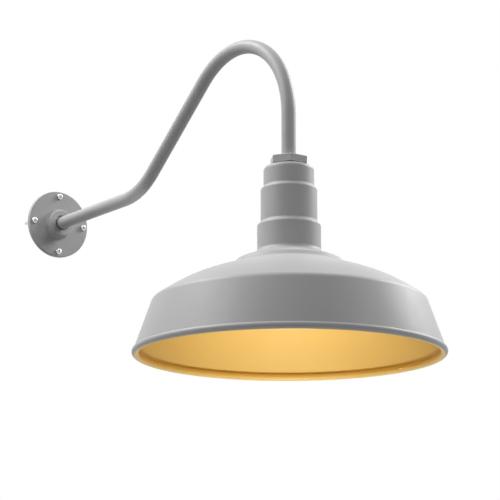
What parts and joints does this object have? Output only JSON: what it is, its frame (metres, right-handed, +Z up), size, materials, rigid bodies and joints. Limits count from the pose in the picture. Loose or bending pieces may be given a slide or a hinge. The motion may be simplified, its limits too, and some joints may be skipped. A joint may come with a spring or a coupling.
{
  "type": "gooseneck wall sconce",
  "caption": "Gooseneck wall light: a bent tube arm from a round wall flange carries a wide open spun shade with a stepped neck and a screw-in lampholder.",
  "frame": {"origin": "centre of the wall flange's back face, in the plane of the wall", "axes": "+Z up, +Y into the wall and -Y out along the arm, +X to the right for a viewer who faces the wall"},
  "size_m": [0.4064, 0.8196, 0.4569],
  "materials": {
    "grey_paint": "satin powder coat, warm yellow inside the shade",
    "chrome": "bright plated",
    "zinc": "zinc plated",
    "green_zinc": "green plated",
    "rubber": "matt",
    "black_nylon": "matt",
    "ceramic": "glazed ceramic",
    "shell_metal": "drawn, bright",
    "brass": "bright",
    "black_insulation": "fibreglass sleeved",
    "white_insulation": "fibreglass sleeved"
  },
  "bodies": {
    "fixture": {"wall_flange": "grey_paint", "mounting_screws": "chrome", "arm_lock_washer": "zinc", "arm_jam_nut": "zinc", "ground_screw": "green_zinc", "wall_bushing": "black_nylon", "gooseneck_arm": "grey_paint", "lead_black": "black_insulation", "lead_white": "white_insulation", "hex_hub": "grey_paint", "hub_gasket": "rubber", "shade": "grey_paint", "shade_lock_washer": "zinc", "shade_lock_nut": "zinc", "socket_nipple": "zinc", "nipple_bushing": "black_nylon", "socket_bracket": "zinc", "bracket_nuts": "zinc", "bracket_screws": "zinc", "lampholder_body": "ceramic", "screw_shell": "shell_metal", "terminal_rivets": "brass"},
    "contact": {"centre_contact": "brass"}
  },
  "joints": [
    {"name": "contact_press", "type": "hinge", "parent": "fixture", "child": "contact", "pos_m": [0.0064, -0.5964, -0.0902], "axis": [0, 1, 0], "range_deg": [0, 8], "stiffness_Nm_per_rad": 0.35}
  ]
}
